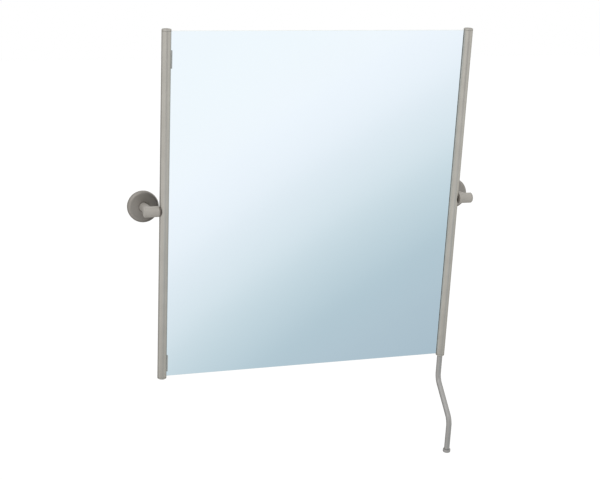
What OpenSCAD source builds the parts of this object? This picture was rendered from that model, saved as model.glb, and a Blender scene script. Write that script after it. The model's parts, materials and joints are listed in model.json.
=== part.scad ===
// Pivot wall mirror: a plain glass held in the grooves of two round side rails.
// The rails turn on two wall posts, and a bent handle under the right rail tilts the glass.
// Millimetres. The wall is the plane Y = 0, the room is towards -Y, and +Z is up.
// The origin is on the wall, midway between the posts, at the height of the pivots.

/* [Mirror glass] */
// Width of the glass, including the two edges hidden in the rails
glass_w = 521; // [420:1:720]
// Height of the glass, which is also the length of the rail tubes
glass_h = 609.6; // [460:0.1:800]
// Thickness of the glass
glass_t = 4; // [4:0.5:5]
// Width of the seamed arris round both faces of the glass
arris = 0.6; // [0.4:0.1:1]
// Thickness of the safety backing behind the silvering
backing_t = 0.5; // [0.3:0.1:0.6]

/* [Side rails] */
// Outside diameter of the round rail tubes
rail_d = 16; // [15.5:0.5:17]
// Wall thickness of the rail tubes
rail_wall = 1.2; // [1:0.1:1.5]
// How far each side edge of the glass reaches into its rail
glass_grip = 2.75; // [2.5:0.05:3]
// How far the middle of the glass stands behind the rails' axes
glass_setback = 2; // [1.6:0.1:2.2]
// Width of the groove in front of the glass, filled by the glazing strip
front_gap = 1; // [0.8:0.1:1.3]
// Height of the visible head of each rail end cap
cap_head = 3.4; // [3:0.1:5]
// Rounding of the end caps' outer edge
cap_round = 1.2; // [0.6:0.1:1.5]
// Length of each keeper clip
clip_len = 29.5; // [24:0.5:40]
// From the top of the left rail tube to the middle of the upper clip
upper_clip_drop = 46.5; // [30:0.5:80]
// From the bottom of the left rail tube to the middle of the lower clip
lower_clip_rise = 24.5; // [21:0.5:80]

/* [Wall posts] */
// From the wall to the pivot axis
standoff = 65; // [56:1:80]
// From the axis of a rail to the axis of its post's stem
stem_offset = 24.5; // [24:0.25:27]
// Diameter of the wall flanges
flange_d = 55; // [52:1:60]
// Depth of the wall flanges
flange_depth = 9; // [8.8:0.1:10]
// Rounding of the flanges' outer edge
flange_round = 5; // [4:0.5:5.5]
// Diameter of the post stems
stem_d = 15.5; // [14:0.5:15.5]
// Diameter of the pivot barrels
barrel_d = 18.5; // [18:0.5:20]
// From a rail's axis to the inner end of its barrel
barrel_start = 9.05; // [9.05:0.05:9.5]
// From the axis of a stem to the outer end of its barrel
barrel_tail = 10.55; // [10.5:0.05:12]
// Distance between the two wall screws of one bracket
screw_pitch = 24; // [23:1:26]
// Diameter of the wall screw holes
screw_hole_d = 4.6; // [4:0.1:5]

/* [Pivots] */
// Diameter of the pivot studs where they turn in the barrels
journal_d = 8; // [7.5:0.5:8]
// Radial clearance of the journals in their bores
running_gap = 0.05; // [0.02:0.01:0.08]
// Forward lean of the mirror as drawn, with its top towards the room
rest_tilt = 8.4; // [-9:0.1:9.4]

/* [Handle] */
// Diameter of the handle rod
rod_d = 10; // [9:0.5:11]
// Straight length of rod under the rail, before the first bend
rod_lead = 36; // [20:1:50]
// How far the handle is bent forward of the rail
rod_reach = 66.5; // [40:0.5:80]
// Angle of the two bends
rod_bend = 50; // [35:1:60]
// Radius of the two bends, at the rod's centre line
rod_bend_r = 26; // [20:1:30]
// From the rail's end cap to the end of the rod
rod_drop = 164; // [150:1:200]
// Diameter of the knob
knob_d = 14; // [12:0.5:18]
// Height of the knob
knob_h = 6; // [5:0.5:12]

/* [Hidden] */
$fn = 64;
fit = 0.05;
over = 1;
nickel = [0.67, 0.65, 0.62];
steel = [0.62, 0.63, 0.64];
silvered = [0.83, 0.90, 0.94];
backing_grey = [0.45, 0.46, 0.47];
dark_rubber = [0.12, 0.11, 0.11];
clip_grey = [0.50, 0.53, 0.52];

rail_r = rail_d / 2;
bore_r = rail_r - rail_wall;
rail_x = glass_w / 2 - glass_grip + rail_r;
stem_x = rail_x + stem_offset;
edge_s = glass_grip - rail_r;
strip_s = edge_s - 2.35;
strip_w = 1.8;
edge_gap = 0.3;
spigot_len = 12;
front_y = glass_setback - glass_t / 2;
back_y = front_y + glass_t + backing_t;
lip_y = front_y - front_gap;
half_h = glass_h / 2;
end_z = half_h + cap_head;

barrel_r = barrel_d / 2;
barrel_end = stem_offset + barrel_tail;
barrel_cap_t = 2.6;
barrel_chamfer = 1.8;
barrel_plug_len = 3;
barrel_pocket_r = 6.7;
plug_gap = 0.2;
journal_r = journal_d / 2;
thread_r = 3;
seat_s = bore_r - 0.6;
washer_r = 8.4;
washer_inner = 6.8;
insert_half = 13;
spring_r = 6;
spring_t = 1.3;
nut_t = 5.6;
nut_flats = 10;
thread_past_nut = 2;
thread_end = barrel_end - barrel_cap_t - barrel_plug_len - plug_gap;
barrel_floor = thread_end - thread_past_nut - nut_t - spring_t;

flange_r = flange_d / 2;
seat_depth = flange_depth - 0.8;
cavity_r = flange_r - 3.8;
cavity_depth = flange_depth - 2.5;
cavity_rim = 4.8;
ring_r = cavity_r - 0.7;
ring_t = 3;
ring_depth = 5;
plate_t = 2;
plate_hole_r = 7;
grub_depth = 2.4;
grub_r = 2;
stem_screw_r = 2.5;
stem_screw_len = 14;
screw_head_r = 4.8;
screw_head_t = 2.8;

rod_r = rod_d / 2;
tenon_r = 3.5;
tenon_len = 14;
knob_thread = 4;
knob_top = rod_drop - 1;
bend_swell = 0.02;
bend_seat = 0.3;
slant = (rod_reach - 2 * rod_bend_r * (1 - cos(rod_bend))) / sin(rod_bend);
bend_drop = 2 * rod_bend_r * sin(rod_bend) + slant * cos(rod_bend);
last_straight = knob_top - rod_lead - bend_drop;

// ---- Placing -------------------------------------------------------------

// Everything is drawn for the right side and mirrored for the left.
module on_left() {
  mirror([1, 0, 0]) children();
}

// The leaning frame of the mirror: its own Z runs up the rails, its own Y is square to the glass.
module leaning() {
  translate([0, -standoff, 0]) rotate([rest_tilt, 0, 0]) children();
}

// A wall post's own axis: Z starts at the wall and points into the room.
module at_post() {
  translate([stem_x, 0, 0]) rotate([90, 0, 0]) children();
}

// The axis of the right rail, with X pointing away from the glass.
module at_rail() {
  translate([rail_x, 0, 0]) children();
}

// A solid of revolution along the pivot axis, measured outwards from the rail's axis.
module along_pivot(from, to, r) {
  translate([rail_x + from, 0, 0]) rotate([0, 90, 0]) cylinder(r = r, h = to - from);
}

module at_pivot_height() {
  translate([0, -standoff, 0]) children();
}

// A disc with one rounded edge, as a profile to revolve.
module rounded_disc_profile(r, h, edge) {
  square([r - edge, h]);
  square([r, h - edge]);
  translate([r - edge, h - edge]) intersection() {
    circle(r = edge);
    square(edge);
  }
}

// ---- Wall posts ----------------------------------------------------------

// Screwed to the wall; its ring stands inside the flange, and the set screw bites into it.
module wall_bracket() {
  color(steel) at_post() difference() {
    union() {
      cylinder(r = ring_r, h = plate_t);
      difference() {
        cylinder(r = ring_r, h = ring_depth);
        translate([0, 0, -over]) cylinder(r = ring_r - ring_t, h = ring_depth + 2 * over);
      }
    }
    translate([0, 0, -over]) cylinder(r = plate_hole_r, h = plate_t + 2 * over);
    for (side = [-1, 1]) {
      translate([0, side * screw_pitch / 2, -over]) cylinder(d = screw_hole_d, h = plate_t + 2 * over);
    }
    translate([0, -ring_r - 0.1, grub_depth]) rotate([-90, 0, 0]) cylinder(r = grub_r + fit, h = 0.9);
  }
}

// Half section of the hollow behind the flange, narrower towards the face.
module flange_cavity_profile() {
  polygon([
    [0, -over], [cavity_r, -over], [cavity_r, cavity_rim],
    [cavity_r - 2.4, cavity_depth], [0, cavity_depth]
  ]);
}

// Escutcheon that hides the bracket and carries the post on its face.
module flange() {
  color(nickel) at_post() difference() {
    rotate_extrude() rounded_disc_profile(flange_r, flange_depth, flange_round);
    rotate_extrude() flange_cavity_profile();
    translate([0, 0, seat_depth]) cylinder(r = stem_d / 2 + 0.7, h = 3);
    cylinder(r = stem_screw_r + 0.2, h = flange_depth);
    translate([0, -flange_r - 1, grub_depth]) rotate([-90, 0, 0]) cylinder(r = grub_r + fit, h = 8);
  }
}

// Cast stem and pivot barrel in one piece, drilled for the stud and its nut.
module post() {
  color(nickel) difference() {
    union() {
      at_post() translate([0, 0, seat_depth]) cylinder(d = stem_d, h = standoff - seat_depth);
      at_pivot_height() along_pivot(barrel_start, barrel_end - barrel_cap_t, barrel_r);
    }
    at_pivot_height() along_pivot(barrel_start - 1, barrel_end, journal_r + running_gap);
    at_pivot_height() along_pivot(barrel_floor, barrel_end, barrel_pocket_r);
    at_post() cylinder(r = stem_screw_r + fit, h = cavity_depth + stem_screw_len + over);
  }
}

// Pulls the stem against the flange from behind.
module stem_screw() {
  color(steel) at_post() difference() {
    union() {
      translate([0, 0, cavity_depth - screw_head_t]) cylinder(r = screw_head_r, h = screw_head_t);
      translate([0, 0, cavity_depth]) cylinder(r = stem_screw_r, h = stem_screw_len);
    }
    translate([0, 0, cavity_depth - screw_head_t - over]) cylinder(d = 4.4, h = over + 1.8, $fn = 6);
  }
}

// Grub screw under the flange that locks it to the bracket.
module set_screw() {
  color(steel) at_post() translate([0, -flange_r + 0.6, grub_depth]) rotate([-90, 0, 0]) difference() {
    union() {
      cylinder(r = grub_r, h = 3.6);
      translate([0, 0, 3.6]) cylinder(r1 = grub_r, r2 = grub_r - 0.8, h = 0.8);
    }
    translate([0, 0, -1]) cylinder(d = 2.2, h = 3, $fn = 6);
  }
}

// Chamfered plug that closes the outer end of the barrel.
module barrel_cap() {
  color(nickel) at_pivot_height() union() {
    along_pivot(thread_end + plug_gap, barrel_end - barrel_cap_t, barrel_pocket_r - 0.02);
    along_pivot(barrel_end - barrel_cap_t, barrel_end - barrel_chamfer, barrel_r);
    translate([rail_x + barrel_end - barrel_chamfer, 0, 0]) rotate([0, 90, 0])
      cylinder(r1 = barrel_r, r2 = barrel_r - barrel_chamfer, h = barrel_chamfer);
  }
}

// ---- Mirror leaf -----------------------------------------------------------

// Section of the glass, square to one pair of its edges, with both arrises.
module glass_section(width) {
  w = width / 2;
  t = glass_t / 2;
  polygon([
    [-w, arris - t], [arris - w, -t], [w - arris, -t], [w, arris - t],
    [w, t - arris], [w - arris, t], [arris - w, t], [-w, t - arris]
  ]);
}

module mirror_glass() {
  color(silvered) leaning() translate([0, glass_setback, 0]) intersection() {
    translate([0, 0, -half_h]) linear_extrude(glass_h) glass_section(glass_w);
    translate([-glass_w / 2, 0, 0]) rotate([90, 0, 90]) linear_extrude(glass_w)
      mirror([1, -1, 0]) glass_section(glass_h);
  }
}

module mirror_backing() {
  inset = 1;
  color(backing_grey) leaning() translate([inset - glass_w / 2, front_y + glass_t, inset - half_h])
    cube([glass_w - 2 * inset, backing_t, glass_h - 2 * inset]);
}

// Round tube, grooved along its inner side for the glass and drilled for the pivot stud.
module rail() {
  color(nickel) leaning() at_rail() difference() {
    translate([0, 0, -half_h]) cylinder(r = rail_r, h = glass_h);
    translate([0, 0, -half_h - over]) cylinder(r = bore_r, h = glass_h + 2 * over);
    translate([-rail_r - over, lip_y, -half_h - over])
      cube([rail_r, back_y + fit - lip_y, glass_h + 2 * over]);
    rotate([0, 90, 0]) cylinder(r = journal_r + 0.1, h = rail_r + over);
  }
}

// Soft strip wedged between the glass and the front lip of the groove.
module strip_length(from, to) {
  translate([strip_s, lip_y + fit, from]) cube([strip_w, front_gap - 2 * fit, to - from]);
}

module glazing_strip_right() {
  color(dark_rubber) leaning() at_rail() strip_length(-half_h, half_h);
}

// The left strip is cut where the two keeper clips sit.
module glazing_strip_left() {
  upper_z = half_h - upper_clip_drop;
  lower_z = lower_clip_rise - half_h;
  half_clip = clip_len / 2;
  color(dark_rubber) on_left() leaning() at_rail() union() {
    strip_length(-half_h, lower_z - half_clip);
    strip_length(lower_z + half_clip, upper_z - half_clip);
    strip_length(upper_z + half_clip, half_h);
  }
}

// Clip with a tongue in the groove and a rounded head that laps over the glass.
module keeper_clip(middle_z) {
  head_out = 2;
  head_h = 2.4;
  edge = 0.9;
  neck = 0.5;
  color(clip_grey) on_left() leaning() at_rail() translate([0, 0, middle_z - clip_len / 2]) union() {
    translate([-rail_r - neck, lip_y + fit, 0])
      cube([strip_s + strip_w + rail_r + neck, front_gap - 2 * fit, clip_len]);
    difference() {
      linear_extrude(clip_len) translate([-rail_r - head_out, front_y - fit - head_h]) union() {
        translate([edge, 0]) square([head_out, head_h]);
        translate([0, edge]) square([edge, head_h - edge]);
        translate([edge, edge]) circle(r = edge);
      }
      translate([0, 0, -over]) cylinder(r = rail_r + 0.02, h = clip_len + 2 * over);
    }
  }
}

// Cutter that flattens a plug in the tube, from the given depth up to Z = 0, clear of the glass edge.
module glass_flat(depth) {
  translate([-rail_r - over, -rail_r - over, -depth - over])
    cube([glass_grip + over + edge_gap, rail_d + 2 * over, depth + over]);
}

// Cap for one end of a rail tube: a rounded head, and a spigot with a flat that clears the glass.
module cap_body() {
  difference() {
    union() {
      rotate_extrude() rounded_disc_profile(rail_r, cap_head, cap_round);
      translate([0, 0, -spigot_len]) cylinder(r = bore_r - fit, h = spigot_len);
    }
    glass_flat(spigot_len);
  }
}

module rail_cap_top() {
  color(nickel) leaning() at_rail() translate([0, 0, half_h]) cap_body();
}

module rail_cap_bottom() {
  color(nickel) leaning() at_rail() rotate([180, 0, 0]) translate([0, 0, half_h]) cap_body();
}

// The bottom cap of the right rail is tapped for the handle rod.
module handle_socket_cap() {
  color(nickel) leaning() at_rail() rotate([180, 0, 0]) translate([0, 0, half_h]) difference() {
    cap_body();
    translate([0, 0, -spigot_len - over]) cylinder(r = tenon_r + fit, h = spigot_len + cap_head + 2 * over);
  }
}

// ---- Pivots ------------------------------------------------------------------

// Threaded plug inside the rail that anchors the stud.
module pivot_insert() {
  color(steel) leaning() at_rail() difference() {
    translate([0, 0, -insert_half]) cylinder(r = bore_r - fit, h = 2 * insert_half);
    translate([0, 0, insert_half + over]) glass_flat(2 * insert_half + over);
    translate([seat_s, 0, 0]) rotate([0, 90, 0]) cylinder(r = journal_r + 0.3, h = rail_r - seat_s);
    translate([-rail_r, 0, 0]) rotate([0, 90, 0]) cylinder(r = thread_r + fit, h = rail_d);
  }
}

// Shoulder stud: threaded into the insert, a journal in the barrel, a thread for the nut.
module pivot_stud() {
  color(steel) leaning() difference() {
    union() {
      along_pivot(-4, seat_s, thread_r);
      along_pivot(seat_s, barrel_floor - 0.1, journal_r);
      along_pivot(barrel_floor - 0.1, thread_end, thread_r);
    }
    translate([rail_x + thread_end - 1, -thread_r, -0.5]) cube([1 + over, thread_r * 2, 1]);
  }
}

// Dark washer, flat against the barrel and hollowed to sit round the rail.
module saddle_washer() {
  color(dark_rubber) leaning() difference() {
    along_pivot(washer_inner, barrel_start - fit, washer_r);
    along_pivot(0, barrel_start + over, journal_r + 0.1);
    at_rail() translate([0, 0, -washer_r - over]) cylinder(r = rail_r + 0.02, h = 2 * (washer_r + over));
  }
}

// Coned washer that keeps the pivot stiff enough to hold any tilt.
module spring_washer() {
  leaf_t = 0.6;
  color(steel) leaning() translate([rail_x + barrel_floor + fit, 0, 0]) rotate([0, 90, 0])
    rotate_extrude() polygon([
      [thread_r + 0.2, spring_t - leaf_t - fit], [spring_r, 0],
      [spring_r, leaf_t], [thread_r + 0.2, spring_t - fit]
    ]);
}

module lock_nut() {
  start = rail_x + barrel_floor + spring_t;
  color(steel) leaning() translate([start, 0, 0]) rotate([0, 90, 0]) difference() {
    intersection() {
      cylinder(d = nut_flats / cos(30), h = nut_t, $fn = 6);
      cylinder(r1 = nut_flats / 2 + 3, r2 = nut_flats / 2 - 0.1, h = nut_t + 2.6);
    }
    translate([0, 0, -over]) cylinder(r = thread_r + fit, h = nut_t + 2 * over);
  }
}

// ---- Handle --------------------------------------------------------------------

// A bend of the rod: it starts at the origin heading down, and turns towards +Y.
module rod_arc() {
  translate([0, rod_bend_r, 0]) rotate([-90, 0, -90])
    rotate_extrude(angle = rod_bend) translate([rod_bend_r, 0]) circle(r = rod_r);
}

// Places its children at the far end of such a bend, with their -Z along the rod.
module past_bend() {
  translate([0, rod_bend_r, 0]) rotate([rod_bend, 0, 0]) translate([0, -rod_bend_r, 0]) children();
}

// A straight of the rod, a hair thinner than the bends, with its ends seated in them.
module straight(length, seat_above, seat_below) {
  translate([0, 0, -length - seat_below])
    cylinder(r = rod_r - bend_swell, h = length + seat_above + seat_below);
}

// Bent rod: straight under the rail, forward in a double bend, then parallel to the rail.
module handle_rod() {
  color(nickel) leaning() at_rail() translate([0, 0, -end_z]) {
    cylinder(r = tenon_r, h = tenon_len);
    straight(rod_lead, 0, bend_seat);
    translate([0, 0, -rod_lead]) mirror([0, 1, 0]) {
      rod_arc();
      past_bend() {
        straight(slant, bend_seat, bend_seat);
        translate([0, 0, -slant]) mirror([0, 1, 0]) {
          rod_arc();
          past_bend() {
            straight(last_straight, bend_seat, 0);
            translate([0, 0, -last_straight - knob_thread]) cylinder(r = tenon_r, h = knob_thread);
          }
        }
      }
    }
  }
}

// Small round knob screwed on the end of the rod.
module handle_knob() {
  color(nickel) leaning() at_rail() translate([0, -rod_reach, -end_z - knob_top])
    rotate([180, 0, 0]) difference() {
      rotate_extrude() rounded_disc_profile(knob_d / 2, knob_h, 1.4);
      translate([0, 0, -over]) cylinder(r = tenon_r + fit, h = over + knob_thread + 0.2);
    }
}

on_left() wall_bracket();  // wall_bracket_left
wall_bracket();  // wall_bracket_right
on_left() flange();  // flange_left
flange();  // flange_right
on_left() post();  // post_left
post();  // post_right
on_left() stem_screw();  // stem_screw_left
stem_screw();  // stem_screw_right
on_left() set_screw();  // set_screw_left
set_screw();  // set_screw_right
on_left() barrel_cap();  // barrel_cap_left
barrel_cap();  // barrel_cap_right
mirror_glass();
mirror_backing();
on_left() rail();  // rail_left
rail();  // rail_right
glazing_strip_left();
glazing_strip_right();
keeper_clip(half_h - upper_clip_drop);  // keeper_clip_upper
keeper_clip(lower_clip_rise - half_h);  // keeper_clip_lower
on_left() rail_cap_top();  // rail_cap_top_left
rail_cap_top();  // rail_cap_top_right
on_left() rail_cap_bottom();  // rail_cap_bottom_left
handle_socket_cap();
on_left() pivot_insert();  // pivot_insert_left
pivot_insert();  // pivot_insert_right
on_left() pivot_stud();  // pivot_stud_left
pivot_stud();  // pivot_stud_right
on_left() saddle_washer();  // saddle_washer_left
saddle_washer();  // saddle_washer_right
on_left() spring_washer();  // spring_washer_left
spring_washer();  // spring_washer_right
on_left() lock_nut();  // lock_nut_left
lock_nut();  // lock_nut_right
handle_rod();
handle_knob();
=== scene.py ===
"""Looks of the pivot wall mirror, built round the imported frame.

Metres. The wall is the plane Y = 0, the room is towards -Y and +Z is up. Pieces of the tilting
leaf are modelled in the leaf's own frame, where Z runs up the rails and Y is square to the glass.
Everything that comes in pairs is modelled on the right and mirrored for the left.
"""

import json
import math

import bmesh
import bpy
from mathutils import Matrix, Vector


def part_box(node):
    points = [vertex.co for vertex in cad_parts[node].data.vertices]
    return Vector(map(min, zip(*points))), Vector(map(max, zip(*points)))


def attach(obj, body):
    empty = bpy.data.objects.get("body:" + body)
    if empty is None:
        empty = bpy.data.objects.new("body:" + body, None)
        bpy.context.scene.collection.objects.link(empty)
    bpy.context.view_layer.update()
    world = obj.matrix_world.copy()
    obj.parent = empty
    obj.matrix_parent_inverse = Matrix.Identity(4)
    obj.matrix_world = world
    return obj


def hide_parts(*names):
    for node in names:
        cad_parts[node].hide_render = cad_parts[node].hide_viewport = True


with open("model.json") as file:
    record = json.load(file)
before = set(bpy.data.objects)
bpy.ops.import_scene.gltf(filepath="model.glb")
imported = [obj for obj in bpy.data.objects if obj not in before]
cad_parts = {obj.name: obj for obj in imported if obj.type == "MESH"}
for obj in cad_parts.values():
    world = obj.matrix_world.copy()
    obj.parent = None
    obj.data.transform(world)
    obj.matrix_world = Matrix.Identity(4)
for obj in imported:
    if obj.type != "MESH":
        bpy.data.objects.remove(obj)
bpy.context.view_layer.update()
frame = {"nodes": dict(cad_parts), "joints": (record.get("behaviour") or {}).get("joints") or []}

MM = 0.001
POSTS = "wall_posts"
LEAF = "mirror_leaf"

# ---- Sizes ---------------------------------------------------------------------------------------

REST_TILT = math.radians(8.4)
PIVOT = Vector(frame["joints"][0]["pos_m"])
STANDOFF = -PIVOT.y
FIT = 0.05 * MM
JOURNAL_R = 4 * MM


def span(node, axis):
    """Lowest and highest coordinate of a CAD node along an axis."""
    low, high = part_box(node)
    return low[axis], high[axis]


def leaning_length(node, thickness):
    """True length of an upright bar of that thickness on the leaning leaf, from its box's height."""
    low, high = span(node, 2)
    return ((high - low) - thickness * math.sin(REST_TILT)) / math.cos(REST_TILT)


# Rails and glass. A rail's section has X from the tube's centre line and Y from the glass's front.
RAIL_R = 8 * MM
TUBE_WALL = 1.2 * MM
RAIL_BORE = RAIL_R - TUBE_WALL
RAIL_X = span("rail_right", 0)[1] - RAIL_R
HALF_W = span("mirror_glass", 0)[1]
HALF_H = leaning_length("rail_right", 2 * RAIL_R) / 2
GLASS_T = 4 * MM
GLASS_ARRIS = 0.6 * MM
GLASS_EDGE_X = HALF_W - RAIL_X
GLASS_FRONT = 0
GLASS_BACK = GLASS_FRONT + GLASS_T
FILM_T = 0.5 * MM
STRIP_GAP = 1 * MM
GROOVE_FRONT = GLASS_FRONT - STRIP_GAP
GROOVE_BACK = GLASS_BACK + FILM_T + FIT
STRIP_LAP = 2.35 * MM
STRIP_W = 1.8 * MM
STRIP_X = GLASS_EDGE_X - STRIP_LAP

# End caps and keeper clips. A clip's place is the height of its middle on the leaf.
CAP_HEAD = 3.4 * MM
CAP_EDGE = 1.2 * MM
SPIGOT = 12 * MM
CLIP_LEN = 29.5 * MM
UPPER_CLIP = HALF_H - 46.5 * MM
LOWER_CLIP = 24.5 * MM - HALF_H

# Flange and stem. Depths are measured from the wall.
FLANGE_LOW, FLANGE_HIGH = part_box("flange_right")
FLANGE_R = (FLANGE_HIGH.x - FLANGE_LOW.x) / 2
FLANGE_DEPTH = FLANGE_HIGH.y - FLANGE_LOW.y
FLANGE_ROUND = 5 * MM
FLANGE_BORE = FLANGE_R - 3.8 * MM
FLANGE_WEB = FLANGE_DEPTH - 2.5 * MM
STEM_X = (FLANGE_LOW.x + FLANGE_HIGH.x) / 2
STEM_R = 7.75 * MM
STEM_SEAT = FLANGE_DEPTH - 0.8 * MM
STEM_FILLET = 2 * MM
STEM_SCREW_R = 2.5 * MM
STEM_TAPPED_TO = FLANGE_DEPTH + 12.5 * MM

# Pivot barrel, with a pocket for the stud's nut behind its cap.
BARREL_R = 9.25 * MM
BARREL_FROM = span("post_right", 0)[0]
BARREL_TO = span("barrel_cap_right", 0)[1]
BARREL_CAP_T = 2.6 * MM
BARREL_CHAMFER = 1.8 * MM
POCKET_R = 6.7 * MM
POCKET_AT = 11.3 * MM
PLUG_LEN = 3 * MM

# Handle. Its lead and the knob's top are measured down from the rail's cap, its reach forwards.
ROD_R = 5 * MM
ROD_LEAD = 36 * MM
ROD_REACH = 66.5 * MM
ROD_BEND = math.radians(50)
ROD_BEND_R = 26 * MM
TENON_R = 3.5 * MM
TENON_LEN = 14 * MM
KNOB_TOP = 163 * MM
KNOB_R = 7 * MM
KNOB_H = 6 * MM

AT_WORLD = Matrix.Identity(4)
AT_LEAF = Matrix.Translation(PIVOT) @ Matrix.Rotation(REST_TILT, 4, "X")
AT_RAIL = Matrix.Translation((RAIL_X, 0, 0))
AT_POST = Matrix.Translation((STEM_X, 0, 0)) @ Matrix.Rotation(math.pi / 2, 4, "X")
UPSIDE_DOWN = Matrix.Rotation(math.pi, 4, "X")
MIRRORED = Matrix.Scale(-1, 4, Vector((1, 0, 0)))
SIDES = (("right", False), ("left", True))


def on_pivot_axis(x, y=-STANDOFF):
    """Frame whose Z points outwards along the pivot axis, starting at x."""
    return Matrix.Translation((x, y, 0)) @ Matrix.Rotation(math.pi / 2, 4, "Y")


def add_to_scene(name, data, matrix):
    """A new object for a mesh, a camera or a light."""
    made = bpy.data.objects.new(name, data)
    made.matrix_world = matrix
    bpy.context.scene.collection.objects.link(made)
    return made


# ---- Camera --------------------------------------------------------------------------------------

CAMERA_AT = Vector((-0.6805, -2.1679, 0.3420))
CAMERA_YAW = math.radians(17.308)
CAMERA_PITCH = math.radians(-10.386)
CAMERA_ROLL = math.radians(0.167)
FOCAL_PX = 1277.9
IMAGE_W = 600
SENSOR_MM = 36
NEAREST_SEEN = 0.05
FARTHEST_SEEN = 60


def make_camera():
    """Camera at the photograph's angle; a yaw above 0 is to the right, a pitch below 0 downwards."""
    data = bpy.data.cameras.new("camera")
    data.sensor_fit = "HORIZONTAL"
    data.sensor_width = SENSOR_MM
    data.lens = SENSOR_MM * FOCAL_PX / IMAGE_W
    data.clip_start = NEAREST_SEEN
    data.clip_end = FARTHEST_SEEN
    ahead = Vector((
        math.sin(CAMERA_YAW) * math.cos(CAMERA_PITCH),
        math.cos(CAMERA_YAW) * math.cos(CAMERA_PITCH),
        math.sin(CAMERA_PITCH),
    ))
    level = Vector((math.cos(CAMERA_YAW), -math.sin(CAMERA_YAW), 0))
    upright = level.cross(ahead)
    right = level * math.cos(CAMERA_ROLL) + upright * math.sin(CAMERA_ROLL)
    up = upright * math.cos(CAMERA_ROLL) - level * math.sin(CAMERA_ROLL)
    turn = Matrix((right, up, -ahead)).transposed().to_4x4()
    bpy.context.scene.camera = add_to_scene("camera", data, Matrix.Translation(CAMERA_AT) @ turn)


# ---- Node helpers --------------------------------------------------------------------------------


class Nodes:
    """Adds and links the nodes of one material or world."""

    def __init__(self, owner):
        owner.use_nodes = True
        self.tree = owner.node_tree
        self.tree.nodes.clear()

    def add(self, kind, inputs=(), **settings):
        """A node; inputs maps its sockets to values or to other nodes' outputs."""
        node = self.tree.nodes.new(kind)
        for key, value in settings.items():
            setattr(node, key, value)
        for key, value in dict(inputs).items():
            self.set(node.inputs[key], value)
        return node

    def set(self, socket, value):
        """Links an output to the socket, or gives the socket a plain value."""
        if isinstance(value, bpy.types.NodeSocket):
            self.tree.links.new(value, socket)
        else:
            socket.default_value = value

    def noise(self, coords, scale, detail, stretch=(1, 1, 1)):
        """Soft noise from 0 to 1; a small number in stretch draws it out along that axis."""
        placed = self.add("ShaderNodeMapping", {"Vector": coords, "Scale": stretch})
        values = {"Vector": placed.outputs["Vector"], "Scale": scale, "Detail": detail}
        return self.add("ShaderNodeTexNoise", values).outputs["Fac"]

    def remap(self, value, low, high, to_low=0.0, to_high=1.0):
        """The value's range from low to high, stretched to another range."""
        values = {"Value": value, "From Min": low, "From Max": high, "To Min": to_low, "To Max": to_high}
        return self.add("ShaderNodeMapRange", values).outputs["Result"]

    def graded(self, value, stops, interpolation="LINEAR"):
        """Colours at given places of the value, blended in between."""
        low, high = stops[0][0], stops[-1][0]
        node = self.add("ShaderNodeValToRGB", {"Fac": self.remap(value, low, high)})
        node.color_ramp.interpolation = interpolation
        elements = node.color_ramp.elements
        while len(elements) < len(stops):
            elements.new(0.5)
        for element, (place, colour) in zip(elements, stops):
            element.position = (place - low) / (high - low)
            element.color = (*colour, 1)
        return node.outputs["Color"]

    def fade(self, value, start, end):
        """Smooth step from 0 at start to 1 at end, which may be the lower of the two."""
        values = {"Value": value, "From Min": start, "From Max": end}
        return self.add("ShaderNodeMapRange", values, interpolation_type="SMOOTHSTEP").outputs["Result"]

    def both(self, *parts):
        """Product of several shares."""
        result = parts[0]
        for part in parts[1:]:
            result = self.add("ShaderNodeMath", {0: result, 1: part}, operation="MULTIPLY").outputs[0]
        return result

    def either(self, first, second):
        """The larger of two shares."""
        return self.add("ShaderNodeMath", {0: first, 1: second}, operation="MAXIMUM").outputs[0]

    def blend(self, share, first, second):
        """The first colour where the share is 0, and the plain second colour where it is 1."""
        values = {"Fac": share, "Color1": first, "Color2": (*second, 1)}
        return self.add("ShaderNodeMixRGB", values).outputs["Color"]

    def bump(self, height, strength, distance):
        """Normal of a surface raised by the height."""
        values = {"Height": height, "Strength": strength, "Distance": distance}
        return self.add("ShaderNodeBump", values).outputs["Normal"]

    def by_ray(self, seen, other):
        """One shader for what the camera sees directly, another for all other rays."""
        direct = self.add("ShaderNodeLightPath").outputs["Is Camera Ray"]
        values = {0: direct, 1: other.outputs[0], 2: seen.outputs[0]}
        return self.add("ShaderNodeMixShader", values).outputs[0]


# ---- Materials -----------------------------------------------------------------------------------

# The noise hardly leaves these ranges, so the tones and the gloss use the whole of theirs.
CLOUD_RANGE = (0.32, 0.68)
GLOSS_RANGE = (0.3, 0.7)
GLOSS_PER_CLOUD = 7
GRAIN_DEPTH = 0.04 * MM


def grained(name, dark, light, rough, spread, clouds, grain=0, strength=0, stretch=(1, 1, 1), **sockets):
    """Material in two close tones that meet in soft clouds, with uneven gloss and a fine surface grain.

    The roughness is rough, give or take spread. clouds and grain are how fine the noise is, strength
    is how strongly the grain shows, and sockets are plain values of the shader.
    """
    material = bpy.data.materials.new(name)
    nodes = Nodes(material)
    coords = nodes.add("ShaderNodeTexCoord").outputs["Object"]
    cloud = nodes.noise(coords, clouds, detail=4)
    gloss = nodes.noise(coords, clouds * GLOSS_PER_CLOUD, detail=3, stretch=stretch)
    shader = nodes.add("ShaderNodeBsdfPrincipled", {
        "Base Color": nodes.graded(cloud, tuple(zip(CLOUD_RANGE, (dark, light)))),
        "Roughness": nodes.remap(gloss, *GLOSS_RANGE, rough - spread, rough + spread),
        **sockets,
    })
    if grain:
        fine = nodes.noise(coords, grain, detail=2, stretch=stretch)
        nodes.set(shader.inputs["Normal"], nodes.bump(fine, strength, GRAIN_DEPTH))
    nodes.add("ShaderNodeOutputMaterial", {"Surface": shader.outputs["BSDF"]})
    return material


GREYER_EDGE = {"Specular Tint": (0.60, 0.59, 0.57, 1)}
DULL = {"Specular IOR Level": 0.15}


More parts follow.
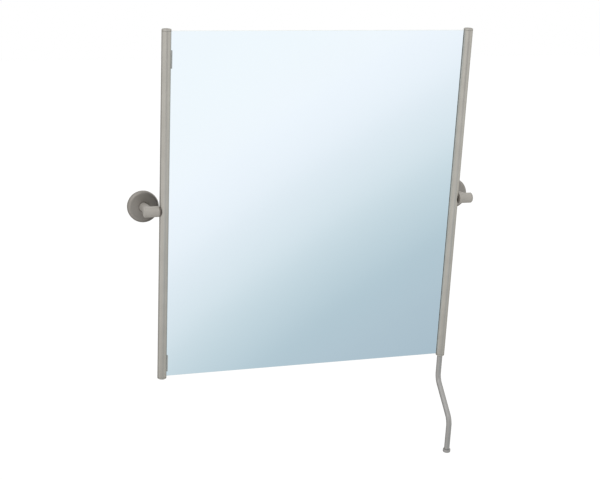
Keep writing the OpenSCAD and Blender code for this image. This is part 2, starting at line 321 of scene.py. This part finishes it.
def satin_metal(name, dark, light, rough, stretch=(1, 1, 1), metallic=1.0):
    """Metal with a fine even grain, a little greyer where it is seen from the side."""
    return grained(name, dark, light, rough, spread=0.03, clouds=38, grain=2600, strength=0.12,
                   stretch=stretch, Metallic=metallic, **GREYER_EDGE)


NICKEL = ((0.484, 0.470, 0.433), (0.520, 0.506, 0.466))
POST_NICKEL = ((0.412, 0.394, 0.360), (0.444, 0.424, 0.387))
# The flanges' nickel is the rails' nickel painted darker: painted shade that stands in for the shade
# their faces get behind the leaf and the barrels.
SHADED_FLANGE_NICKEL = ((0.326, 0.308, 0.283), (0.353, 0.334, 0.307))
ROD_NICKEL = ((0.385, 0.381, 0.370), (0.415, 0.411, 0.398))
ZINC_TONES = ((0.46, 0.47, 0.48), (0.58, 0.59, 0.60))
ALONG_RAIL = (1, 1, 0.06)

SATIN_RAIL = satin_metal("satin_nickel_rail", *NICKEL, 0.40, stretch=ALONG_RAIL)
SATIN_CAST = satin_metal("satin_nickel_cast", *NICKEL, 0.42)
SATIN_POST = satin_metal("satin_nickel_post", *POST_NICKEL, 0.48, metallic=0.35)
# The flanges take the darker copy of the nickel, with painted shade in its tone.
SATIN_FLANGE_SHADED = satin_metal("satin_nickel_flange_painted_shade", *SHADED_FLANGE_NICKEL, 0.50)
SATIN_ROD = satin_metal("satin_nickel_rod", *ROD_NICKEL, 0.42)
ZINC = satin_metal("zinc_steel", *ZINC_TONES, 0.34)
RUBBER = grained(
    "dark_rubber", (0.011, 0.010, 0.008), (0.018, 0.016, 0.013),
    rough=0.70, spread=0.05, clouds=130, grain=1800, strength=0.25, **DULL)
WASHER_RUBBER = grained(
    "washer_rubber", (0.145, 0.125, 0.109), (0.180, 0.157, 0.137),
    rough=0.60, spread=0.05, clouds=130, grain=1800, strength=0.25)
CLIP_PLASTIC = grained(
    "grey_plastic", (0.378, 0.398, 0.386), (0.418, 0.440, 0.428),
    rough=0.38, spread=0.05, clouds=90, grain=2200, strength=0.12)
BACKING_FILM = grained(
    "backing_film", (0.150, 0.154, 0.158), (0.180, 0.185, 0.190),
    rough=0.52, spread=0.06, clouds=14, grain=700, strength=0.20)
MIRROR = grained(
    "mirror_silver", (0.862, 0.944, 0.985), (0.868, 0.950, 0.992),
    rough=0.020, spread=0.006, clouds=6, Metallic=1.0)
GLASS_EDGE = grained(
    "glass_edge", (0.84, 0.90, 0.89), (0.90, 0.95, 0.94),
    rough=0.24, spread=0.06, clouds=90, grain=900, strength=0.10)


# ---- Mesh helpers --------------------------------------------------------------------------------

# An edge that turns by more than the first angle stays sharp in the shading, and soften() rounds one
# that turns by more than the second, to one of the two widths.
SHARP_FROM = math.radians(35)
BEVEL_FROM = math.radians(40)
TUBE_EDGE = 0.25 * MM
MOULDED_EDGE = 0.3 * MM


def arc(centre, radius, start, end, steps):
    """Points on an arc, angles in radians, both ends included."""
    angles = [start + (end - start) * i / steps for i in range(steps + 1)]
    return [(centre[0] + radius * math.cos(a), centre[1] + radius * math.sin(a)) for a in angles]


def rectangle(left, right, low, high):
    """Outline of a rectangle."""
    return [(left, low), (right, low), (right, high), (left, high)]


def rounded(corners, steps=5):
    """Open outline with rounded corners; each corner is (x, y, radius), and a radius of 0 stays sharp."""
    result = []
    for i, (x, y, radius) in enumerate(corners):
        here = Vector((x, y))
        if radius == 0 or i in (0, len(corners) - 1):
            result.append((x, y))
            continue
        before = (Vector(corners[i - 1][:2]) - here).normalized()
        after = (Vector(corners[i + 1][:2]) - here).normalized()
        half = before.angle(after) / 2
        reach = radius / math.tan(half)
        centre = here + (before + after).normalized() * (radius / math.sin(half))
        first = here + before * reach - centre
        last = here + after * reach - centre
        start = math.atan2(first.y, first.x)
        turn = (math.atan2(last.y, last.x) - start + math.pi) % (2 * math.pi) - math.pi
        result += arc(centre, radius, start, start + turn, steps)
    return result


def bar(radius, low, high):
    """Profile of a plain round bar, to lathe."""
    return [(0, low), (radius, low), (radius, high), (0, high)]


def lathe(bm, profile, matrix=AT_WORLD, segments=96, closed=False):
    """Revolves (radius, height) points round Z, as a ring if closed, or else from axis to axis."""
    rings = []
    for radius, height in profile:
        count = segments if radius > 0 else 1
        angles = [2 * math.pi * i / count for i in range(count)]
        points = [Vector((radius * math.cos(a), radius * math.sin(a), height)) for a in angles]
        rings.append([bm.verts.new(matrix @ point) for point in points])
    pairs = list(zip(rings, rings[1:]))
    if closed:
        pairs.append((rings[-1], rings[0]))
    for near, far in pairs:
        for i in range(segments):
            j = i + 1
            corners = (near[i % len(near)], near[j % len(near)], far[j % len(far)], far[i % len(far)])
            distinct = list(dict.fromkeys(corners))
            if len(distinct) > 2:
                bm.faces.new(distinct)
    return bm


def skin(bm, rings):
    """Joins rings of points, each with the same count, and closes both ends."""
    made = [[bm.verts.new(point) for point in ring] for ring in rings]
    for near, far in zip(made, made[1:]):
        for i in range(len(near)):
            j = (i + 1) % len(near)
            bm.faces.new((near[i], near[j], far[j], far[i]))
    bm.faces.new(made[0])
    bm.faces.new(made[-1])
    return bm


def prism(bm, outline, low, high, matrix=AT_WORLD):
    """Closed bar with the given XY outline between two heights."""
    return skin(bm, [[matrix @ Vector((x, y, z)) for x, y in outline] for z in (low, high)])


def sweep(bm, path, radius, segments=40):
    """Round bar along points that lie in a plane of constant X."""
    side = Vector((1, 0, 0))
    rings = []
    for i, point in enumerate(path):
        ahead = (path[min(i + 1, len(path) - 1)] - path[max(i - 1, 0)]).normalized()
        rings.append([point + side * x + ahead.cross(side) * y
                      for x, y in arc((0, 0), radius, 0, 2 * math.pi, segments)[:-1]])
    return skin(bm, rings)


def shade(mesh, sharp=SHARP_FROM):
    """Smooth shading that breaks at sharp edges."""
    mesh.shade_smooth()
    mesh.set_sharp_from_angle(angle=sharp)


def make_object(name, bm, matrix=AT_WORLD, mirrored=False, sharp=SHARP_FROM):
    """A smooth-shaded object from a bmesh; mirrored turns a right-hand piece into a left-hand one."""
    if mirrored:
        bmesh.ops.transform(bm, matrix=MIRRORED, verts=bm.verts)
    bmesh.ops.recalc_face_normals(bm, faces=bm.faces)
    mesh = bpy.data.meshes.new(name)
    bm.to_mesh(mesh)
    bm.free()
    shade(mesh, sharp)
    return add_to_scene(name, mesh, matrix)


def bake(piece):
    """Turns a piece's modifiers into its mesh."""
    graph = bpy.context.evaluated_depsgraph_get()
    rough = piece.data
    piece.data = bpy.data.meshes.new_from_object(piece.evaluated_get(graph))
    piece.modifiers.clear()
    bpy.data.meshes.remove(rough)
    piece.data.name = piece.name
    shade(piece.data)


def cut(piece, cutter_bm, matrix=AT_WORLD, mirrored=False):
    """Takes the cutter's volume out of the piece."""
    cutter = make_object("cutter", cutter_bm, matrix, mirrored)
    boolean = piece.modifiers.new("cut", "BOOLEAN")
    boolean.operation = "DIFFERENCE"
    boolean.solver = "EXACT"
    boolean.object = cutter
    bake(piece)
    bpy.data.objects.remove(cutter)


def fuse(piece, voxel):
    """Makes one skin of a piece's overlapping shells, with the seams between them eased."""
    remesh = piece.modifiers.new("fuse", "REMESH")
    remesh.mode = "VOXEL"
    remesh.voxel_size = voxel
    smooth = piece.modifiers.new("smooth", "SMOOTH")
    smooth.factor = 0.5
    smooth.iterations = 3
    bake(piece)


def soften(piece, width, segments=2):
    """Rounds every sharp edge."""
    bevel = piece.modifiers.new("soft_edges", "BEVEL")
    bevel.width = width
    bevel.segments = segments
    bevel.limit_method = "ANGLE"
    bevel.angle_limit = BEVEL_FROM
    bake(piece)


def paint(piece, material):
    """Gives a piece one material in place of any that it has."""
    piece.data.materials.clear()
    piece.data.materials.append(material)


def dress(piece, material, body, replaced):
    """Gives a piece its material and body, and hides the CAD node that it replaces."""
    paint(piece, material)
    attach(piece, body)
    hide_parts(replaced)


# ---- Mirror leaf ---------------------------------------------------------------------------------


def make_glass():
    """Pane with seamed edges: its broad faces are silvered, its rim is polished glass."""
    levels = ((GLASS_FRONT, GLASS_ARRIS), (GLASS_FRONT + GLASS_ARRIS, 0),
              (GLASS_BACK - GLASS_ARRIS, 0), (GLASS_BACK, GLASS_ARRIS))
    rings = []
    for y, inset in levels:
        right, top = HALF_W - inset, HALF_H - inset
        rings.append([Vector((x, y, z)) for x, z in rectangle(-right, right, -top, top)])
    pane = make_object("mirror_pane", skin(bmesh.new(), rings), AT_LEAF, sharp=math.radians(10))
    dress(pane, MIRROR, LEAF, "mirror_glass")
    pane.data.materials.append(GLASS_EDGE)
    for face in pane.data.polygons:
        broad = abs(face.normal.y) > 0.9
        face.material_index = 0 if broad else 1


def angle_at(y, radius):
    """Angle where a circle round the rail's centre line comes to y, on the side of the glass."""
    return math.pi - math.asin(y / radius)


def make_rail(side, mirrored):
    """Round tube with the glass groove along its inner side and a hole for the pivot stud."""
    turn = 2 * math.pi
    outside = arc((0, 0), RAIL_R, angle_at(GROOVE_FRONT, RAIL_R) - turn,
                  angle_at(GROOVE_BACK, RAIL_R), steps=90)
    inside = arc((0, 0), RAIL_BORE, angle_at(GROOVE_BACK, RAIL_BORE),
                 angle_at(GROOVE_FRONT, RAIL_BORE) - turn, steps=70)
    tube = prism(bmesh.new(), outside + inside, -HALF_H, HALF_H, AT_RAIL)
    rail = make_object(f"tube_{side}", tube, AT_LEAF, mirrored)
    hole_r = JOURNAL_R + 0.1 * MM
    hole = lathe(bmesh.new(), bar(hole_r, 0, 2 * RAIL_R), on_pivot_axis(RAIL_X, 0), segments=48)
    cut(rail, hole, AT_LEAF, mirrored)
    soften(rail, TUBE_EDGE)
    dress(rail, SATIN_RAIL, LEAF, f"rail_{side}")


def make_cap(name, node, mirrored, top, socket=False):
    """Turned end cap: a fine groove at the tube's end, a collar, a rounded edge and a crowned end.

    Its spigot is flat on the side of the glass, and a socket is drilled through for the handle's tenon.
    """
    spigot_r = RAIL_BORE - FIT
    groove_r, groove_w, groove_edge = RAIL_R - 0.8 * MM, 0.5 * MM, 0.1 * MM
    crown, crown_round = 0.25 * MM, 4 * MM
    socket_r = TENON_R + FIT
    head = rounded((
        (spigot_r, -SPIGOT, 0), (spigot_r, 0, 0), (groove_r, 0, 0), (groove_r, groove_w, 0),
        (RAIL_R, groove_w, groove_edge), (RAIL_R, CAP_HEAD - crown, CAP_EDGE),
        (RAIL_R / 2, CAP_HEAD, crown_round), (0, CAP_HEAD, 0)))
    profile = [(0, -SPIGOT)] + head
    if socket:
        profile = [(socket_r, -SPIGOT)] + head[:-1] + [(socket_r, CAP_HEAD)]
    place = AT_RAIL @ (AT_WORLD if top else UPSIDE_DOWN) @ Matrix.Translation((0, 0, HALF_H))
    cap = make_object(name, lathe(bmesh.new(), profile, place, closed=socket), AT_LEAF, mirrored)
    past = RAIL_R + MM
    flat = GLASS_EDGE_X + 0.3 * MM
    beside_glass = prism(bmesh.new(), rectangle(-past, flat, -past, past), -SPIGOT - MM, 0, place)
    cut(cap, beside_glass, AT_LEAF, mirrored)
    dress(cap, SATIN_CAST, LEAF, node)


def make_strips():
    """Soft strips between the glass and the front lip; the left one is cut where the clips sit."""
    half = CLIP_LEN / 2
    stretches = {
        "right": ((-HALF_H, HALF_H),),
        "left": (
            (-HALF_H, LOWER_CLIP - half),
            (LOWER_CLIP + half, UPPER_CLIP - half),
            (UPPER_CLIP + half, HALF_H),
        ),
    }
    section = rectangle(STRIP_X, STRIP_X + STRIP_W, GROOVE_FRONT + FIT, GLASS_FRONT - FIT)
    for side, mirrored in SIDES:
        bm = bmesh.new()
        for start, end in stretches[side]:
            prism(bm, section, start, end, AT_RAIL)
        strip = make_object(f"glazing_bead_{side}", bm, AT_LEAF, mirrored)
        soften(strip, MOULDED_EDGE, segments=3)
        dress(strip, RUBBER, LEAF, f"glazing_strip_{side}")


def make_clip(name, node, middle):
    """Keeper clip: a tongue in the groove and a rounded head that laps over the glass beside the rail."""
    out = -RAIL_R - 2 * MM
    face = GLASS_FRONT - FIT
    front = face - 2.4 * MM
    head_round = 0.9 * MM
    lip = GROOVE_FRONT + FIT
    tongue_x = STRIP_X + STRIP_W
    hug_r = RAIL_R + 0.02 * MM
    hug = arc((0, 0), hug_r, angle_at(front, hug_r), angle_at(lip, hug_r), steps=8)
    tip = rounded(((out, face, 0), (out, front, head_round), (*hug[0], 0)), steps=6)
    outline = tip[:-1] + hug + [(tongue_x, lip), (tongue_x, face)]
    bm = prism(bmesh.new(), outline, middle - CLIP_LEN / 2, middle + CLIP_LEN / 2, AT_RAIL)
    clip = make_object(name, bm, AT_LEAF, mirrored=True)
    soften(clip, MOULDED_EDGE, segments=3)
    dress(clip, CLIP_PLASTIC, LEAF, node)


def bend(start, from_slope, to_slope, steps=20):
    """Points of one handle bend, forward and down from its start; the slopes are from upright."""
    points = []
    for i in range(steps + 1):
        slope = from_slope + (to_slope - from_slope) * i / steps
        ahead = ROD_BEND_R * abs(math.cos(from_slope) - math.cos(slope))
        down = ROD_BEND_R * abs(math.sin(from_slope) - math.sin(slope))
        points.append(start - Vector((0, ahead, down)))
    return points


def handle_path():
    """Centre line of the handle on the leaf: down, forward in a double bend, and down again."""
    slant = (ROD_REACH - 2 * ROD_BEND_R * (1 - math.cos(ROD_BEND))) / math.sin(ROD_BEND)
    top = Vector((RAIL_X, 0, -HALF_H - CAP_HEAD))
    points = [top, top - Vector((0, 0, ROD_LEAD / 2))]
    points += bend(top - Vector((0, 0, ROD_LEAD)), 0, ROD_BEND)
    slant_end = points[-1] - Vector((0, math.sin(ROD_BEND), math.cos(ROD_BEND))) * slant
    points += bend(slant_end, ROD_BEND, 0)
    points.append(Vector((RAIL_X, -ROD_REACH, top.z - KNOB_TOP)))
    return points


def make_handle():
    """Bent rod screwed into the right rail's bottom cap, and the small knob on its end."""
    path = handle_path()
    bm = sweep(bmesh.new(), [AT_LEAF @ point for point in path], ROD_R)
    lathe(bm, bar(TENON_R, 0, TENON_LEN), AT_LEAF @ Matrix.Translation(path[0]), segments=48)
    rod = make_object("handle_bar", bm)
    dress(rod, SATIN_ROD, LEAF, "handle_rod")
    top_edge, end_edge = 0.5 * MM, 1.4 * MM
    profile = rounded((
        (0, 0, 0), (KNOB_R, 0, top_edge), (KNOB_R, KNOB_H, end_edge),
        (KNOB_R / 3, KNOB_H, 0), (0, KNOB_H, 0)))
    hanging = AT_LEAF @ Matrix.Translation(path[-1]) @ UPSIDE_DOWN
    knob = make_object("handle_end", lathe(bmesh.new(), profile, hanging))
    dress(knob, SATIN_ROD, LEAF, "handle_knob")


# ---- Wall posts ----------------------------------------------------------------------------------


def make_flange(side, mirrored):
    """Hollow escutcheon: straight rim, rounded edge, slightly crowned face, a recess round the stem.

    A set screw comes up from below through a hole in the rim.
    """
    fine_edge = 0.3 * MM
    recess_r, recess_lip_r = STEM_R + 0.7 * MM, STEM_R + 1.2 * MM
    hole_r = STEM_SCREW_R + 0.2 * MM
    outside = rounded((
        (FLANGE_BORE, 0, 0), (FLANGE_R, 0, fine_edge), (FLANGE_R, FLANGE_DEPTH, FLANGE_ROUND),
        (recess_lip_r, FLANGE_DEPTH, fine_edge), (recess_r, FLANGE_DEPTH - fine_edge, 0),
        (recess_r, STEM_SEAT, 0)), steps=10)
    cone_top_r, cone_from = FLANGE_R - 6.2 * MM, 4.8 * MM
    inside = [(hole_r, STEM_SEAT), (hole_r, FLANGE_WEB),
              (cone_top_r, FLANGE_WEB), (FLANGE_BORE, cone_from)]
    shell = lathe(bmesh.new(), outside + inside, AT_POST, segments=128, closed=True)
    flange = make_object(f"escutcheon_{side}", shell, mirrored=mirrored)
    set_screw_r, set_screw_at, drill_len = 2 * MM, 2.4 * MM, 8 * MM
    below = AT_POST @ Matrix.Translation((0, -FLANGE_R - MM, set_screw_at))
    upwards = below @ Matrix.Rotation(-math.pi / 2, 4, "X")
    drill = lathe(bmesh.new(), bar(set_screw_r + FIT, 0, drill_len), upwards, segments=40)
    cut(flange, drill, mirrored=mirrored)
    # The flange's material carries painted shade in its darker tone.
    dress(flange, SATIN_FLANGE_SHADED, POSTS, f"flange_{side}")


def cast_stem(segments=96, flare_steps=6):
    """Round stem from the flange to the barrel, flaring into the barrel's side like a casting.

    The flare is slimmer above, below and on the outer side, where the barrel falls away or ends.
    """
    straight_to = STANDOFF - 25 * MM
    sunk = 0.03 * MM
    slimmer_above, slimmer_outside = 0.6, 0.75
    angles = [2 * math.pi * i / segments for i in range(segments)]

    def ring(sizes):
        sized = zip(angles, sizes)
        return [AT_POST @ Vector((r * math.cos(a), r * math.sin(a), depth)) for a, (r, depth) in sized]

    def flare(phi):
        sizes = []
        for a in angles:
            tall, outward = abs(math.sin(a)), max(0, math.cos(a))
            reach = STEM_FILLET * (1 - slimmer_above * tall ** 2) * (1 - slimmer_outside * outward ** 2)
            radius = STEM_R + reach * (1 - math.cos(phi))
            surface = math.sqrt(BARREL_R ** 2 - (radius * tall) ** 2)
            sizes.append((radius, STANDOFF - surface - reach * (1 - math.sin(phi)) + sunk))
        return ring(sizes)

    rings = [ring([(STEM_R, depth)] * segments) for depth in (STEM_SEAT, straight_to)]
    rings += [flare(math.pi / 2 * k / flare_steps) for k in range(flare_steps + 1)]
    rings.append(ring([(STEM_R - MM, STANDOFF)] * segments))
    return skin(bmesh.new(), rings)


def make_post(side, mirrored):
    """Stem and pivot barrel cast in one piece, then bored for the stud, its nut and the stem screw."""
    length = BARREL_TO - BARREL_CAP_T - BARREL_FROM
    inner_edge, outer_edge = 0.4 * MM, 0.15 * MM
    barrel = rounded((
        (0, 0, 0), (BARREL_R, 0, inner_edge), (BARREL_R, length, outer_edge), (0, length, 0)))
    bm = lathe(cast_stem(), barrel, on_pivot_axis(BARREL_FROM))
    post = make_object(f"casting_{side}", bm, mirrored=mirrored)
    fuse(post, voxel=0.4 * MM)
    bore = JOURNAL_R + FIT
    past = length + MM
    drilled = [(0, -MM), (bore, -MM), (bore, POCKET_AT),
               (POCKET_R, POCKET_AT), (POCKET_R, past), (0, past)]
    cut(post, lathe(bmesh.new(), drilled, on_pivot_axis(BARREL_FROM), segments=64), mirrored=mirrored)
    tapped = bar(STEM_SCREW_R + FIT, FLANGE_WEB, STEM_TAPPED_TO)
    cut(post, lathe(bmesh.new(), tapped, AT_POST, segments=40), mirrored=mirrored)
    dress(post, SATIN_POST, POSTS, f"post_{side}")


def make_barrel_cap(side, mirrored):
    """Chamfered plug in the barrel's outer end."""
    plug_r = POCKET_R - 0.02 * MM
    face_r = BARREL_R - BARREL_CHAMFER
    seam, edge = 0.2 * MM, 0.3 * MM
    profile = [(0, -PLUG_LEN)] + rounded((
        (plug_r, -PLUG_LEN, 0), (plug_r, 0, 0), (BARREL_R - seam, 0, 0), (BARREL_R, seam, 0),
        (BARREL_R, BARREL_CAP_T - BARREL_CHAMFER, edge), (face_r, BARREL_CAP_T, edge),
        (BARREL_R / 2, BARREL_CAP_T, 0), (0, BARREL_CAP_T, 0)))
    bm = lathe(bmesh.new(), profile, on_pivot_axis(BARREL_TO - BARREL_CAP_T))
    plug = make_object(f"barrel_plug_{side}", bm, mirrored=mirrored)
    dress(plug, SATIN_POST, POSTS, f"barrel_cap_{side}")


# ---- CAD nodes kept as they are ------------------------------------------------------------------

KEPT_NODES = {
    "wall_bracket": ZINC,
    "stem_screw": ZINC,
    "set_screw": ZINC,
    "mirror_backing": BACKING_FILM,
    "pivot_insert": ZINC,
    "pivot_stud": ZINC,
    "saddle_washer": WASHER_RUBBER,
    "spring_washer": ZINC,
    "lock_nut": ZINC,
}


def dress_kept_nodes():
    """Gives the CAD nodes that no piece replaces their materials, by the start of their names."""
    for name, node in frame["nodes"].items():
        for start, material in KEPT_NODES.items():
            if name.startswith(start):
                paint(node, material)


# ---- Studio --------------------------------------------------------------------------------------

# To the camera the floor is white in all: part of it takes the light and the shadow, and the rest
# of it glows evenly. To other rays it is plain paper.
FLOOR_Z = -1.45
FLOOR_SIZE = 80
FLOOR_SHADED = 0.30
FLOOR_GLOW = 0.75
FLOOR_PAPER = 0.8

SURROUND_TONE = (0.96, 0.95, 0.93)
LEFT_TONE = (0.905, 0.895, 0.875)
RIGHT_TONE = (0.80, 0.79, 0.77)
ROOM_TONE = (0.33, 0.320, 0.306)
BEHIND_TONE = (0.58, 0.575, 0.565)
BELOW_TONE = (0.58, 0.57, 0.56)

# The glass shows a grey-blue shade that is deepest low on the right and fades upwards to white.
# A stop's place is measured along SHADE_ACROSS.
SHADE_ACROSS = (-0.588, 0, 0.809)
SHADE_STOPS = (
    (-0.85, (0.780, 0.800, 0.810)),
    (-0.70, (0.446, 0.529, 0.585)),
    (-0.61, (0.490, 0.575, 0.628)),
    (-0.575, (0.548, 0.638, 0.682)),
    (-0.535, (0.725, 0.785, 0.815)),
    (-0.495, (0.890, 0.905, 0.935)),
    (-0.455, (0.990, 0.980, 1.005)),
    (-0.36, (1.0, 0.992, 1.01)),
)

KEY_AT = Vector((-1.8, -2.0, 2.0))
KEY_SIZE = 1.6
KEY_WATTS = 8


def make_floor():
    """Plain pale floor. The glass and the metal show the world's floor tones in its place."""
    half = FLOOR_SIZE / 2
    bm = bmesh.new()
    bm.faces.new([bm.verts.new((x, y, 0)) for x, y in rectangle(-half, half, -half, half)])
    floor = make_object("floor", bm, Matrix.Translation((0, 0, FLOOR_Z)))
    floor.visible_glossy = False
    material = bpy.data.materials.new("floor_paper")
    nodes = Nodes(material)
    paper, shaded = [
        nodes.add("ShaderNodeBsdfDiffuse", {"Color": (grey, grey, grey, 1)})
        for grey in (FLOOR_PAPER, FLOOR_SHADED)]
    glow = nodes.add("ShaderNodeEmission", {"Strength": FLOOR_GLOW})
    white = nodes.add("ShaderNodeAddShader", {0: glow.outputs[0], 1: shaded.outputs[0]})
    nodes.add("ShaderNodeOutputMaterial", {"Surface": nodes.by_ray(seen=white, other=paper)})
    floor.data.materials.append(material)


def make_world():
    """Soft, nearly white studio light from all round.

    The glass shows the grey-blue shade low in front. The light is a little dimmer from the left front
    and from low on the right, dimmer from behind and straight below, and there is a dark room at
    eye height in front. x, y and z below are a direction's, as seen from the object.
    """
    world = bpy.data.worlds.new("studio")
    bpy.context.scene.world = world
    nodes = Nodes(world)
    direction = nodes.add("ShaderNodeTexCoord").outputs["Generated"]
    x, y, z = nodes.add("ShaderNodeSeparateXYZ", {"Vector": direction}).outputs
    across = nodes.add("ShaderNodeVectorMath", {0: direction, 1: SHADE_ACROSS}, operation="DOT_PRODUCT")
    shade_tone = nodes.graded(across.outputs["Value"], SHADE_STOPS, "CARDINAL")
    off_shade = nodes.either(nodes.fade(x, 0.44, 0.75), nodes.fade(z, -0.60, -0.85))
    left_front = nodes.both(nodes.fade(x, -0.30, -0.65), nodes.fade(y, 0.0, -0.35))
    right_low = nodes.both(nodes.fade(x, 0.50, 0.85), nodes.fade(z, -0.20, -0.40))
    eye_height = nodes.both(nodes.fade(z, -0.27, -0.06), nodes.fade(z, 0.30, 0.0))
    ahead = nodes.both(nodes.fade(x, -0.30, 0.05), nodes.fade(x, 0.60, 0.25), nodes.fade(y, 0.0, -0.5))
    below = nodes.fade(z, -0.60, -0.90)
    behind = nodes.both(nodes.fade(y, 0.10, 0.60), nodes.fade(z, 0.45, 0.15))
    tone = shade_tone
    for share, colour in (
        (off_shade, SURROUND_TONE),
        (left_front, LEFT_TONE),
        (right_low, RIGHT_TONE),
        (nodes.both(eye_height, ahead), ROOM_TONE),
        (below, BELOW_TONE),
        (behind, BEHIND_TONE),
    ):
        tone = nodes.blend(share, tone, colour)
    around = nodes.add("ShaderNodeBackground", {"Color": tone})
    plain = nodes.add("ShaderNodeBackground", {"Color": (1, 1, 1, 1)})
    nodes.add("ShaderNodeOutputWorld", {"Surface": nodes.by_ray(seen=plain, other=around)})


def make_key_light():
    """Square soft box in front, on the upper left, that faces the object."""
    data = bpy.data.lights.new("key_light", "AREA")
    data.size = KEY_SIZE
    data.energy = KEY_WATTS
    facing = (-KEY_AT).to_track_quat("-Z", "Y").to_matrix().to_4x4()
    add_to_scene("key_light", data, Matrix.Translation(KEY_AT) @ facing)


# ---- The scene -----------------------------------------------------------------------------------

bpy.context.scene.view_settings.view_transform = "Standard"
make_camera()
make_glass()
for side, mirrored in SIDES:
    make_rail(side, mirrored)
    make_cap(f"end_cap_top_{side}", f"rail_cap_top_{side}", mirrored, top=True)
    make_flange(side, mirrored)
    make_post(side, mirrored)
    make_barrel_cap(side, mirrored)
make_cap("end_cap_bottom_left", "rail_cap_bottom_left", True, top=False)
make_cap("end_cap_bottom_right", "handle_socket_cap", False, top=False, socket=True)
make_strips()
make_clip("clip_upper", "keeper_clip_upper", UPPER_CLIP)
make_clip("clip_lower", "keeper_clip_lower", LOWER_CLIP)
make_handle()
dress_kept_nodes()
make_floor()
make_world()
make_key_light()
